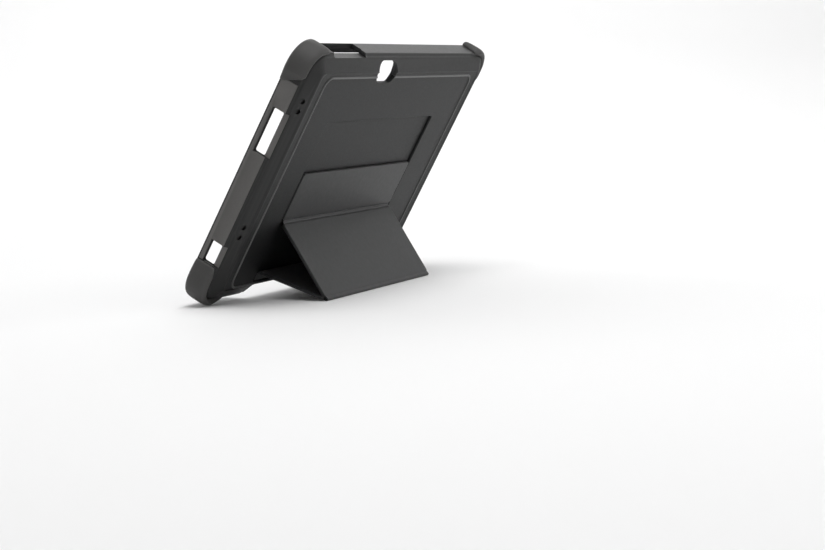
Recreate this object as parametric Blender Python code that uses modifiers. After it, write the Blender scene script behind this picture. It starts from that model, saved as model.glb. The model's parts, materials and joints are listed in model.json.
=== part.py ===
"""Rugged tablet case with a folding stand, modelled as separate pieces.

The case is built upright in its own frame: X runs along the long side, Y goes
from the open front rim (0) to the back, Z goes up from the bottom edge (0).
An empty leans it back onto the stand, and the model's origin is the middle of
the floor area that it covers.  Left and right are as seen from the front.
"""

import math

import bmesh
import bpy
from mathutils import Matrix, Vector

MM = 0.001
GAP = 0.3 * MM                      # clearance between pieces that touch

# Driving dimensions of the case
WIDTH = 280 * MM                    # long side, without the corner bumpers
HEIGHT = 179 * MM                   # short side
DEPTH = 20 * MM                     # front rim to back face
CORNER = 14 * MM                    # outline corner radius
WALL = 3 * MM
LIP_REACH = 6.5 * MM                # how far the rim lip covers the tablet's edge
LIP_THICK = 1.6 * MM
CHAMFER_Y = 14.3 * MM               # where the back chamfer starts
CHAMFER_IN = 10.6 * MM              # how far in it ends
INNER_CHAMFER_Y = 13 * MM           # where the wall's inner face starts to slope
BACK_INNER = 17.5 * MM              # inner face of the back wall
HALF = WIDTH / 2

# Back panel, its border ridge and the recess for the stand
PANEL_SIDE = 21.6 * MM
PANEL_TOP = 14.4 * MM
PANEL_BOTTOM = 11 * MM
PANEL_CORNER = 8 * MM
RIDGE = 0.4 * MM                    # height of the border ridge
RIDGE_SLOPE = 0.3 * MM              # width of its outer slope
RIDGE_TOP = 1.1 * MM                # where its flat top ends
RIDGE_END = 1.5 * MM
STAND_X = 4 * MM                    # middle of the stand and of the dock opening
RECESS_WIDTH = 167.5 * MM
RECESS_FLOOR = 18.3 * MM
RECESS_Z = (13.2 * MM, 131.2 * MM)

# Corner bumpers
BUMPER_OUT = 3.5 * MM
BUMPER_FOOT = (15.4 * MM, 2.9 * MM) # edge that the case stands on: its depth, and how far out
BUMPERS = {                         # along the case, then up its side: reach and taper
    ("top", "left"): ((5 * MM, 4 * MM), (17 * MM, 8 * MM)),
    ("top", "right"): ((12.6 * MM, 3 * MM), (9 * MM, 6 * MM)),
    ("bottom", "left"): ((20 * MM, 18 * MM), (17 * MM, 8 * MM)),
    ("bottom", "right"): ((20 * MM, 18 * MM), (12.2 * MM, 7 * MM)),
}

# Openings
DOCK_X = (-74.6 * MM, 85.5 * MM)
DOCK_TOP = 10.9 * MM
SIDE_PORTS = ((106 * MM, 136 * MM), (27 * MM, 41 * MM))
SIDE_PORT_Y = (4.5 * MM, 11.8 * MM)
TOP_PORT_X = (64 * MM, 112 * MM)
TOP_PORT_Y = (1.8 * MM, 9.5 * MM)
PORT_RELIEF = 2.6 * MM              # depth of the ledge cut beside each port
RELIEF_MARGIN = 0.5 * MM            # how much longer a ledge is than its port, each way
RELIEF_LIP = 0.2 * MM               # how far it starts in front of its port
CAMERA = (32 * MM, 167.5 * MM)      # X and Z of its middle
CAMERA_SIZE = (29 * MM, 15 * MM)
CAMERA_CORNER = 7.2 * MM
SOUND_HOLES = (147 * MM, 140 * MM, 57 * MM, 50 * MM)
SOUND_HOLE_RADIUS = 1.8 * MM
SOUND_HOLE_AT = (HALF - 6.7 * MM, 17.8 * MM)

# Side grips
GRIP_SUNK = 1.3 * MM
GRIP_PROUD = 0.2 * MM
GRIP_Y = (2.6 * MM, 12.6 * MM)
GRIP_Z = (38 * MM, 146 * MM)

# Inside: liner, floor, band and pads
FLOOR_Y = 15.8 * MM
FLOOR_HALF = (78.6 * MM, 47.6 * MM)
FLOOR_CORNER = 16 * MM
MIDDLE_Z = HEIGHT / 2
LINER_TEETH = 44
LINER_CORNER = 9 * MM
PAD_AT = (74.5 * MM, 41.5 * MM)
PAD_Y = (13.1 * MM, 14.4 * MM)
PAD_REACH = 13.5 * MM               # from a pad's middle to each of its three ends
PAD_BLUNT = 4.6 * MM                # half the width of each end
BAND_Y = (15.1 * MM, 15.5 * MM)
BAND_HALF = (76.4 * MM, 45 * MM)
BAND_WIDTH = 5 * MM
BAND_CORNER = 12 * MM
STUB_END = (107.5 * MM, 63 * MM)
ARM_WIDTH = 6 * MM
ARM_RISE = 1.0 * MM                 # how far each arm's end stands above the band
KEEPER_HALF = 70 * MM
KEEPER_Y = (16.85 * MM, 17.25 * MM)
KEEPER_Z = (54 * MM, 126 * MM)

# Folding stand: base panel, leg and flap
PANEL_WIDTH = 166 * MM
PANEL_THICK = 2.0 * MM
SKIN = 0.5 * MM
BOARD = 0.7 * MM
HEM = 4 * MM                        # skin margin round each stiffening board
BASE_LENGTH = 52.4 * MM
LEG_LENGTH = 58.2 * MM
FLAP_LENGTH = 35.5 * MM
HINGE_Z = 20 * MM
HINGE_Y = 19.6 * MM
BASE_ANGLE = math.radians(79.5)     # how far the base panel is swung out
FOOT_RADIUS = 1.2 * MM
BEAD_RADIUS = 0.6 * MM
FOLD_RADIUS = 0.35 * MM
HINGE_CLEAR = 1.2 * MM              # from each fold line to the panels beside it
FOOT_CLEAR = 2.9 * MM
FOLD_CLEAR = 1.3 * MM
FLAP_SINK = 0.15 * MM               # the flap lies this much below the fold's line
MAGNETS_X = (-52 * MM, 0.0, 52 * MM)
MAGNET_RADIUS = 5 * MM
ANCHOR_Y = (18.6 * MM, 19.8 * MM)
ANCHOR_TOP = HINGE_Z - 1.5 * MM
TONGUE_HALF = 18 * MM
TONGUE_SHOULDER = 9.5 * MM
TONGUE_TIP = 4.2 * MM
TONGUE_TIP_X = (STAND_X - 12 * MM, STAND_X + 14 * MM)

RUBBER = ("case_rubber", (0.030, 0.031, 0.032), 0.62, 0.0)
HARD = ("back_plastic", (0.026, 0.027, 0.028), 0.5, 0.0)
GRIP = ("side_grip_rubber", (0.062, 0.060, 0.055), 0.7, 0.0)
LINER = ("liner_rubber", (0.040, 0.041, 0.043), 0.6, 0.0)
BAND = ("band_satin", (0.24, 0.24, 0.24), 0.4, 0.0)
BLUE = ("pad_foam", (0.13, 0.52, 0.85), 0.5, 0.0)
SKINS = ("stand_skin", (0.036, 0.037, 0.039), 0.55, 0.0)
FIBRE = ("stiffener_board", (0.21, 0.17, 0.12), 0.8, 0.0)
STEEL = ("plated_steel", (0.55, 0.56, 0.57), 0.3, 1.0)


def clear_scene():
    for obj in list(bpy.data.objects):
        bpy.data.objects.remove(obj, do_unlink=True)


def collection(name):
    made = bpy.data.collections.new(name)
    bpy.context.scene.collection.children.link(made)
    return made


def material(name, color, roughness, metallic):
    if name in bpy.data.materials:
        return bpy.data.materials[name]
    made = bpy.data.materials.new(name)
    made.use_nodes = True
    shader = made.node_tree.nodes["Principled BSDF"]
    shader.inputs["Base Color"].default_value = (*color, 1.0)
    shader.inputs["Roughness"].default_value = roughness
    shader.inputs["Metallic"].default_value = metallic
    return made


def finish_mesh(name, mesh, finish, parent):
    """Turn a bmesh into a named object with its own finish, under a parent."""
    bmesh.ops.recalc_face_normals(mesh, faces=mesh.faces)
    data = bpy.data.meshes.new(name)
    mesh.to_mesh(data)
    mesh.free()
    obj = bpy.data.objects.new(name, data)
    if finish is None:
        CUTTERS.objects.link(obj)
        obj.hide_render = True
        obj.display_type = "WIRE"
    else:
        PARTS.objects.link(obj)
        data.materials.append(material(*finish))
    obj.parent = parent
    return obj


def empty(name, parent, place=(0.0, 0.0, 0.0), turn=0.0):
    """An empty whose X axis is a hinge line."""
    obj = bpy.data.objects.new(name, None)
    obj.empty_display_size = 10 * MM
    PARTS.objects.link(obj)
    obj.parent = parent
    obj.location = place
    obj.rotation_euler = (turn, 0.0, 0.0)
    return obj


def box(name, x, y, z, finish, parent, bevel=0.0, corner=0.0):
    """A block between three pairs of limits; corner rounds its edges along Y."""
    mesh = bmesh.new()
    size = Vector((x[1] - x[0], y[1] - y[0], z[1] - z[0]))
    middle = Vector((x[0] + x[1], y[0] + y[1], z[0] + z[1])) / 2
    place = Matrix.Translation(middle) @ Matrix.Diagonal((*size, 1.0))
    bmesh.ops.create_cube(mesh, size=1.0, matrix=place)
    if corner:
        along_y = [e for e in mesh.edges
                   if abs(e.verts[0].co.y - e.verts[1].co.y) > 0.5 * size.y]
        bmesh.ops.bevel(mesh, geom=along_y, offset=corner, segments=3, profile=0.5,
                        affect="EDGES")
    obj = finish_mesh(name, mesh, finish, parent)
    if bevel:
        edges = obj.modifiers.new("edges", "BEVEL")
        edges.width = bevel
        edges.segments = 1
    return obj


def rod(name, x, centre, radius, finish, parent, sides=12):
    """A bar along X through centre = (y, z)."""
    mesh = bmesh.new()
    place = (Matrix.Translation(((x[0] + x[1]) / 2, centre[0], centre[1]))
             @ Matrix.Rotation(math.pi / 2, 4, "Y"))
    bmesh.ops.create_cone(mesh, cap_ends=True, segments=sides, radius1=radius,
                          radius2=radius, depth=x[1] - x[0], matrix=place)
    return finish_mesh(name, mesh, finish, parent)


def rounded_rectangle(x, z, radius, steps=5):
    """Outline points (x, z), counter-clockwise from the lower right corner."""
    centres = ((x[1] - radius, z[0] + radius, -90), (x[1] - radius, z[1] - radius, 0),
               (x[0] + radius, z[1] - radius, 90), (x[0] + radius, z[0] + radius, 180))
    points = []
    for cx, cz, start in centres:
        for step in range(steps + 1):
            angle = math.radians(start + 90 * step / steps)
            points.append((cx + radius * math.cos(angle), cz + radius * math.sin(angle)))
    return points


def inset_outline(inset, radius=None):
    """The case's outline moved inwards by inset."""
    if radius is None:
        radius = max(CORNER - inset, 2 * MM)
    return rounded_rectangle((-HALF + inset, HALF - inset), (inset, HEIGHT - inset), radius)


def panel_outline(grow):
    """The back panel's outline moved outwards by grow."""
    x = (-HALF + PANEL_SIDE - grow, HALF - PANEL_SIDE + grow)
    z = (PANEL_BOTTOM - grow, HEIGHT - PANEL_TOP + grow)
    return rounded_rectangle(x, z, PANEL_CORNER + grow)


def loft(loops, ring=False):
    """A solid through outlines at given depths; ring joins the last to the first."""
    mesh = bmesh.new()
    rows = [[mesh.verts.new((x, y, z)) for x, z in points] for points, y in loops]
    following = rows[1:]
    if ring:
        following.append(rows[0])
    else:
        mesh.faces.new(rows[0])
        mesh.faces.new(rows[-1])
    for lower, upper in zip(rows, following):
        for i in range(len(lower)):
            j = (i + 1) % len(lower)
            mesh.faces.new((lower[i], lower[j], upper[j], upper[i]))
    return mesh


def prism(name, points, y, finish, parent):
    """A flat plate of a given outline between two depths."""
    mesh = bmesh.new()
    face = mesh.faces.new([mesh.verts.new((x, y[0], z)) for x, z in points])
    grown = bmesh.ops.extrude_face_region(mesh, geom=[face])["geom"]
    moved = [item for item in grown if isinstance(item, bmesh.types.BMVert)]
    bmesh.ops.translate(mesh, verts=moved, vec=(0.0, y[1] - y[0], 0.0))
    return finish_mesh(name, mesh, finish, parent)


def cut(obj, *cutters):
    for cutter in cutters:
        step = obj.modifiers.new("cut_" + cutter.name, "BOOLEAN")
        step.operation = "DIFFERENCE"
        step.solver = "EXACT"
        step.object = cutter
    return obj


# ---------------------------------------------------------------- openings

def make_cutters(case):
    """Cutting shapes, by name, all in the case's frame."""
    out = 10 * MM
    tools = {}
    tools["dock"] = box("cut_dock", DOCK_X, (-out, DEPTH + out), (-out, DOCK_TOP), None, case)
    for number, z in enumerate(SIDE_PORTS, 1):
        tools["side_port_%d" % number] = box(
            "cut_side_port_%d" % number, (HALF - out, HALF + out), SIDE_PORT_Y, z, None, case)
        tools["side_relief_%d" % number] = box(
            "cut_side_relief_%d" % number, (HALF - PORT_RELIEF, HALF + out),
            (SIDE_PORT_Y[0] - RELIEF_LIP, DEPTH), (z[0] - RELIEF_MARGIN, z[1] + RELIEF_MARGIN),
            None, case)
    tools["top_port"] = box("cut_top_port", TOP_PORT_X, TOP_PORT_Y,
                            (HEIGHT - out, HEIGHT + out), None, case)
    tools["top_relief"] = box(
        "cut_top_relief", (TOP_PORT_X[0] - RELIEF_MARGIN, TOP_PORT_X[1] + RELIEF_MARGIN),
        (TOP_PORT_Y[0] - RELIEF_LIP, DEPTH), (HEIGHT - PORT_RELIEF, HEIGHT + out), None, case)
    x, z = CAMERA
    w, h = CAMERA_SIZE
    outline = rounded_rectangle((x - w / 2, x + w / 2), (z - h / 2, z + h / 2), CAMERA_CORNER)
    tools["camera"] = prism("cut_camera", outline, (FLOOR_Y - 4 * MM, DEPTH + out), None, case)
    lean = math.atan2(DEPTH - CHAMFER_Y, CHAMFER_IN)
    for number, z in enumerate(SOUND_HOLES, 1):
        mesh = bmesh.new()
        place = (Matrix.Translation((*SOUND_HOLE_AT, z))
                 @ Matrix.Rotation(math.pi / 2 - lean, 4, "Z") @ Matrix.Rotation(math.pi / 2, 4, "Y"))
        bmesh.ops.create_cone(mesh, cap_ends=True, segments=12, radius1=SOUND_HOLE_RADIUS,
                              radius2=SOUND_HOLE_RADIUS, depth=12 * MM, matrix=place)
        tools["sound_%d" % number] = finish_mesh("cut_sound_%d" % number, mesh, None, case)
    return tools


# ---------------------------------------------------------------- case body

def soft_frame(case, tools):
    """Walls, front lip, chamfer and back flange as one closed ring, cut for the ports."""
    flange = panel_outline(GAP)
    loops = [
        (inset_outline(0.8 * MM), 0.0),
        (inset_outline(0.0), 0.8 * MM),
        (inset_outline(0.0), CHAMFER_Y),
        (inset_outline(CHAMFER_IN), DEPTH),
        (flange, DEPTH),
        (flange, BACK_INNER),
        (inset_outline(CHAMFER_IN), BACK_INNER),
        (inset_outline(WALL), INNER_CHAMFER_Y),
        (inset_outline(WALL), LIP_THICK),
        (inset_outline(LIP_REACH), LIP_THICK),
        (inset_outline(LIP_REACH - 0.6 * MM), 0.0),
    ]
    obj = finish_mesh("soft_frame", loft(loops, ring=True), RUBBER, case)
    for side in (-1, 1):
        tools["channel_%d" % side] = grip_block("cut_channel_%d" % side, side, 0.0, None, case)
    return cut(obj, *tools.values())


def grip_block(name, side, margin, finish, case):
    """The side grip's block; margin shrinks it inside its channel."""
    inner = HALF - GRIP_SUNK + margin
    outer = HALF + (GRIP_PROUD if finish else 5 * MM)
    x = sorted((side * inner, side * outer))
    y = (GRIP_Y[0] + margin, GRIP_Y[1] - margin)
    z = (GRIP_Z[0] + margin, GRIP_Z[1] - margin)
    return box(name, x, y, z, finish, case, bevel=0.25 * MM if finish else 0.0)


def side_grips(case, tools):
    left = grip_block("side_grip_left", -1, GAP, GRIP, case)
    right = grip_block("side_grip_right", 1, GAP, GRIP, case)
    names = ("side_port_1", "side_port_2", "side_relief_1", "side_relief_2")
    cut(right, *(tools[name] for name in names))
    return left, right


def back_panel(case, tools):
    """Hard back with a raised border line and a shallow recess for the stand."""
    loops = [
        (panel_outline(0.0), BACK_INNER),
        (panel_outline(0.0), DEPTH),
        (panel_outline(-RIDGE_SLOPE), DEPTH + RIDGE),
        (panel_outline(-RIDGE_TOP), DEPTH + RIDGE),
        (panel_outline(-RIDGE_END), DEPTH),
    ]
    obj = finish_mesh("back_panel", loft(loops), HARD, case)
    x = (STAND_X - RECESS_WIDTH / 2, STAND_X + RECESS_WIDTH / 2)
    recess = box("cut_recess", x, (RECESS_FLOOR, DEPTH + 5 * MM), RECESS_Z, None, case)
    tongue_x = (STAND_X - TONGUE_HALF - GAP, STAND_X + TONGUE_HALF + GAP)
    notch = box("cut_tongue", tongue_x, (RECESS_FLOOR, DEPTH + 5 * MM),
                (PANEL_BOTTOM - 5 * MM, RECESS_Z[0] + 1 * MM), None, case)
    return cut(obj, recess, notch, tools["camera"])


def bumper_path(inset, arms):
    """Points of the upper right corner at one inset, from the top to the side."""
    radius = CORNER - inset
    cx, cz = HALF - CORNER, HEIGHT - CORNER
    points = [(cx - arms[0], cz + radius)]
    for step in range(7):
        angle = math.radians(90 - 15 * step)
        points.append((cx + radius * math.cos(angle), cz + radius * math.sin(angle)))
    points.append((cx + radius, cz - arms[1]))
    return points


def corner_bumper(level, side, arms, case):
    """A thick cap round one corner of the wall, thinner at its two ends."""
    # Each row: inset in the middle, depth, inset at the thin ends, all in mm
    out = BUMPER_OUT / MM
    foot_y, foot_out = (size / MM for size in BUMPER_FOOT)
    profile = [(-0.3, 0.3, -0.3), (-0.3, 14.9, -0.3), (-1.4, 16.6, -0.6), (-foot_out, foot_y, -1.2),
               (-out, 13.0, -1.4), (-out, 2.2, -1.4), (-2.2, 0.3, -1.1)]
    across = 1 if side == "right" else -1
    reaches = [reach for reach, taper in arms]
    full_reaches = [reach - taper for reach, taper in arms]
    mesh = bmesh.new()
    rows = []
    for inset, y, end_inset in profile:
        ends = bumper_path(end_inset * MM, reaches)
        points = [ends[0], *bumper_path(inset * MM, full_reaches), ends[-1]]
        if level == "bottom":
            points = [(x, HEIGHT - z) for x, z in points]
        rows.append([mesh.verts.new((across * x, y * MM, z)) for x, z in points])
    for lower, upper in zip(rows, rows[1:] + rows[:1]):
        for j in range(len(lower) - 1):
            mesh.faces.new((lower[j], lower[j + 1], upper[j + 1], upper[j]))
    mesh.faces.new([row[0] for row in rows])
    mesh.faces.new([row[-1] for row in rows])
    return finish_mesh("corner_bumper_%s_%s" % (level, side), mesh, RUBBER, case)


def corner_bumpers(case):
    for (level, side), arms in BUMPERS.items():
        corner_bumper(level, side, arms, case)


# ---------------------------------------------------------------- inside

def even_points(points, count):
    """Points at equal distances along a closed outline, from its first point."""
    closed = [Vector(p) for p in points] + [Vector(points[0])]
    lengths = [(b - a).length for a, b in zip(closed, closed[1:])]
    step = sum(lengths) / count
    result = []
    for number in range(count):
        left = number * step
        index = 0
        while left > lengths[index]:
            left -= lengths[index]
            index += 1
        result.append(closed[index].lerp(closed[index + 1], left / lengths[index]))
    return result


def liner_edge(y):
    """Outer outline of the liner at depth y, just clear of the wall's inner slope."""
    slope = (CHAMFER_IN - WALL) / (BACK_INNER - INNER_CHAMFER_Y)
    inset = WALL + (y - INNER_CHAMFER_Y) * slope + 2 * GAP
    return inset_outline(inset, LINER_CORNER)


def floor_outline(shrink=1.0):
    """The floor's many-sided outline, scaled about its middle by shrink."""
    x, z = FLOOR_HALF
    points = even_points(rounded_rectangle((-x, x), (-z, z), FLOOR_CORNER), LINER_TEETH)
    return [(p.x * shrink, MIDDLE_Z + p.y * shrink) for p in points]


def shock_liner(case, tools):
    """A ring of saw-tooth facets whose steps grow from the floor to the walls."""
    inner_low = BACK_INNER - GAP
    levels = {"high": 14.0 * MM, "low": 16.7 * MM, "base": inner_low}
    edges = {key: even_points(liner_edge(y), LINER_TEETH) for key, y in levels.items()}
    inner_points = floor_outline()
    mesh = bmesh.new()

    def vertex(point, y):
        return mesh.verts.new((point[0], y, point[1]))

    rays = []
    for k in range(LINER_TEETH):
        near, far = Vector(inner_points[k]), edges["high"][k]
        bend = near.lerp(far, 0.45)
        rays.append({
            "inner": vertex(near, FLOOR_Y),
            "bend_low": vertex(bend, FLOOR_Y + 0.35 * MM),
            "bend_high": vertex(bend, FLOOR_Y - 0.45 * MM),
            "low": vertex(edges["low"][k], levels["low"]),
            "high": vertex(far, levels["high"]),
            "base": vertex(edges["base"][k], levels["base"]),
            "inner_base": vertex(near, inner_low),
        })
    for k, ray in enumerate(rays):
        after = rays[(k + 1) % LINER_TEETH]
        faces = (
            (ray["inner"], ray["bend_low"], after["bend_high"], after["inner"]),
            (ray["bend_low"], ray["low"], after["high"], after["bend_high"]),
            (after["inner"], after["bend_high"], after["bend_low"]),
            (after["bend_high"], after["high"], after["low"], after["bend_low"]),
            (ray["low"], ray["base"], after["base"], after["low"], after["high"]),
            (ray["base"], ray["inner_base"], after["inner_base"], after["base"]),
            (ray["inner_base"], ray["inner"], after["inner"], after["inner_base"]),
        )
        for face in faces:
            mesh.faces.new(face)
    obj = finish_mesh("shock_liner", mesh, LINER, case)
    dock = box("cut_liner_dock", (DOCK_X[0] - 3 * MM, DOCK_X[1] + 3 * MM),
               (0.0, DEPTH + 5 * MM), (-10 * MM, PANEL_BOTTOM + 0.5 * MM), None, case)
    holes = [tools["sound_%d" % n] for n in range(1, len(SOUND_HOLES) + 1)]
    return cut(obj, dock, tools["camera"], *holes)


def floor_panel(case):
    outline = floor_outline(1 - 1.2 * GAP / FLOOR_HALF[1])
    return prism("floor_panel", outline, (FLOOR_Y, FLOOR_Y + 0.8 * MM), LINER, case)


def keeper_plate(case):
    """Steel sheet behind the recess that the flap's magnets hold on to."""
    return box("keeper_plate", (STAND_X - KEEPER_HALF, STAND_X + KEEPER_HALF),
               KEEPER_Y, KEEPER_Z, STEEL, case, corner=4 * MM)


def band_arm(name, side, level, case):
    """A strip from the band's corner towards the case's corner, rising over the liner."""
    middle_y = (BAND_Y[0] + BAND_Y[1]) / 2
    start = Vector((PAD_AT[0] * side * 0.97, middle_y, MIDDLE_Z + PAD_AT[1] * level * 0.97))
    end = Vector((STUB_END[0] * side, middle_y - ARM_RISE, MIDDLE_Z + STUB_END[1] * level))
    along = end - start
    thick = BAND_Y[1] - BAND_Y[0]
    mesh = bmesh.new()
    turn = along.to_track_quat("X", "Z").to_matrix().to_4x4()
    size = Matrix.Diagonal((along.length, thick, ARM_WIDTH, 1.0))
    place = Matrix.Translation((start + end) / 2) @ turn @ size
    bmesh.ops.create_cube(mesh, size=1.0, matrix=place)
    return finish_mesh(name, mesh, None, case)


def grip_band(case):
    """A thin satin band: a rounded rectangle with an arm towards each corner."""
    x, z = BAND_HALF
    half = BAND_WIDTH / 2
    outer = rounded_rectangle((-x - half, x + half), (MIDDLE_Z - z - half, MIDDLE_Z + z + half),
                              BAND_CORNER + half)
    inner = rounded_rectangle((-x + half, x - half), (MIDDLE_Z - z + half, MIDDLE_Z + z - half),
                              BAND_CORNER - half)
    loops = [(outer, BAND_Y[0]), (outer, BAND_Y[1]), (inner, BAND_Y[1]), (inner, BAND_Y[0])]
    obj = finish_mesh("grip_band", loft(loops, ring=True), BAND, case)
    for side in (-1, 1):
        for level in (-1, 1):
            arm = band_arm("join_arm_%d_%d" % (side, level), side, level, case)
            join = obj.modifiers.new("arm", "BOOLEAN")
            join.operation = "UNION"
            join.solver = "EXACT"
            join.object = arm
    return obj


def shock_pad(name, side, level, case):
    """A truncated three-pointed pad; its points face the two bands and the corner."""
    outward = Vector((STUB_END[0] - PAD_AT[0], STUB_END[1] - PAD_AT[1])).normalized()
    arms = [Vector((-1, 0)), Vector((0, -1)), outward]
    points = []
    for arm in arms:
        across = Vector((-arm.y, arm.x)) * PAD_BLUNT
        tip = arm * PAD_REACH
        points.extend((tip - across, tip + across))
    placed = [(side * (PAD_AT[0] + p.x), MIDDLE_Z + level * (PAD_AT[1] + p.y)) for p in points]
    obj = prism(name, placed, PAD_Y, BLUE, case)
    edges = obj.modifiers.new("edges", "BEVEL")
    edges.width = 0.9 * MM
    edges.segments = 2
    edges.limit_method = "ANGLE"
    return obj


def inside(case, tools):
    shock_liner(case, tools)
    floor_panel(case)
    keeper_plate(case)
    grip_band(case)
    for level, level_name in ((1, "top"), (-1, "bottom")):
        for side, side_name in ((-1, "left"), (1, "right")):
            shock_pad("shock_pad_%s_%s" % (level_name, side_name), side, level, case)


# ---------------------------------------------------------------- stand

def laminate(prefix, start, end, axis, middle=0.0, holes=()):
    """Two skins with a board between them, from start to end along local Z."""
    half_width = PANEL_WIDTH / 2
    x = (-half_width, half_width)
    half = PANEL_THICK / 2
    outer_y = (middle + half - SKIN, middle + half)
    inner_y = (middle - half, middle - half + SKIN)
    board_y = (middle - BOARD / 2, middle + BOARD / 2)
    box(prefix + "_outer_skin", x, outer_y, (start, end), SKINS, axis, corner=2 * MM)
    box(prefix + "_inner_skin", x, inner_y, (start, end), SKINS, axis, corner=2 * MM)
    board = box(prefix + "_board", (x[0] + HEM, x[1] - HEM), board_y,
                (start + HEM, end - HEM), FIBRE, axis, corner=2 * MM)
    return cut(board, *holes)


def stand_anchor(case):
    """The stand's fixed hem, glued in the recess, with a finger tongue below it."""
    left, right = STAND_X - PANEL_WIDTH / 2, STAND_X + PANEL_WIDTH / 2
    tongue_left, tongue_right = STAND_X - TONGUE_HALF, STAND_X + TONGUE_HALF
    bottom = RECESS_Z[0] + GAP
    points = [(left, bottom), (tongue_left, bottom), (tongue_left, TONGUE_SHOULDER),
              (TONGUE_TIP_X[0], TONGUE_TIP), (TONGUE_TIP_X[1], TONGUE_TIP),
              (tongue_right, TONGUE_SHOULDER), (tongue_right, bottom), (right, bottom),
              (right, ANCHOR_TOP), (left, ANCHOR_TOP)]
    return prism("stand_anchor", points, ANCHOR_Y, SKINS, case)


def stand_shape():
    """Angles and joints of the open stand, in the case's (z, y) plane."""
    foot_z = HINGE_Z + BASE_LENGTH * math.cos(BASE_ANGLE)
    foot_y = HINGE_Y + BASE_LENGTH * math.sin(BASE_ANGLE)
    fold_y = RECESS_FLOOR + GAP + PANEL_THICK        # outer face of the flap
    half = PANEL_THICK / 2
    reach = math.hypot(LEG_LENGTH, half)
    leg_angle = -math.asin((foot_y - fold_y) / reach) - math.atan2(half, LEG_LENGTH)
    return foot_z, foot_y, leg_angle


def lean_angle(foot_z, foot_y):
    """Lean at which the bumpers' edge and the round foot touch one floor."""
    across = foot_y - BUMPER_FOOT[0]
    up = foot_z + BUMPER_FOOT[1]
    return math.atan2(up, across) - math.asin(FOOT_RADIUS / math.hypot(up, across))


def stand(case, foot_z, foot_y, leg_angle):
    """Base panel, leg and flap, each on an empty at its own fold."""
    x = (-PANEL_WIDTH / 2, PANEL_WIDTH / 2)
    stand_anchor(case)
    base_axis = empty("base_axis", case, (STAND_X, HINGE_Y, HINGE_Z), -BASE_ANGLE)
    rod("base_hinge_bead", x, (0.0, 0.0), BEAD_RADIUS, SKINS, base_axis)
    laminate("base", HINGE_CLEAR, BASE_LENGTH - FOOT_CLEAR, base_axis)

    leg_axis = empty("leg_axis", base_axis, (0.0, 0.0, BASE_LENGTH), BASE_ANGLE - leg_angle)
    rod("foot_bead", x, (0.0, 0.0), FOOT_RADIUS, SKINS, leg_axis, sides=16)
    laminate("leg", FOOT_CLEAR, LEG_LENGTH - FOLD_CLEAR, leg_axis)

    fold = (0.0, PANEL_THICK / 2, LEG_LENGTH)
    flap_axis = empty("flap_axis", leg_axis, fold, leg_angle)
    rod("fold_bead", x, (0.0, 0.0), FOLD_RADIUS, SKINS, flap_axis)
    sunk = -PANEL_THICK / 2 - FLAP_SINK
    middle_z = FLAP_LENGTH / 2
    holes = []
    for number, place in enumerate(MAGNETS_X, 1):
        for name, radius, finish, height in (("cut_magnet_%d", MAGNET_RADIUS + GAP, None, 3 * MM),
                                             ("flap_magnet_%d", MAGNET_RADIUS, STEEL, BOARD)):
            mesh = bmesh.new()
            spot = (Matrix.Translation((place, sunk, middle_z))
                    @ Matrix.Rotation(math.pi / 2, 4, "X"))
            bmesh.ops.create_cone(mesh, cap_ends=True, segments=20, radius1=radius,
                                  radius2=radius, depth=height, matrix=spot)
            made = finish_mesh(name % number, mesh, finish, flap_axis)
            if finish is None:
                holes.append(made)
    laminate("flap", FOLD_CLEAR, FLAP_LENGTH, flap_axis, middle=sunk, holes=holes)


def centre_on_floor(case):
    """Move the case so that the whole model stands on the origin."""
    bpy.context.view_layer.update()
    graph = bpy.context.evaluated_depsgraph_get()
    corners = []
    for obj in PARTS.objects:
        if obj.type == "MESH":
            shape = obj.evaluated_get(graph)
            corners.extend(obj.matrix_world @ v.co for v in shape.data.vertices)
    low = [min(c[i] for c in corners) for i in range(3)]
    high = [max(c[i] for c in corners) for i in range(3)]
    case.location -= Vector(((low[0] + high[0]) / 2, (low[1] + high[1]) / 2, low[2]))


def main():
    foot_z, foot_y, leg_angle = stand_shape()
    case = empty("case_lean", None, turn=-lean_angle(foot_z, foot_y))
    tools = make_cutters(case)
    soft_frame(case, tools)
    side_grips(case, tools)
    back_panel(case, tools)
    corner_bumpers(case)
    inside(case, tools)
    stand(case, foot_z, foot_y, leg_angle)
    centre_on_floor(case)


clear_scene()
PARTS = collection("tablet_case")
CUTTERS = collection("cutters")
main()
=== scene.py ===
import json
import math

import bmesh
import bpy
from mathutils import Matrix, Vector


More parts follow.
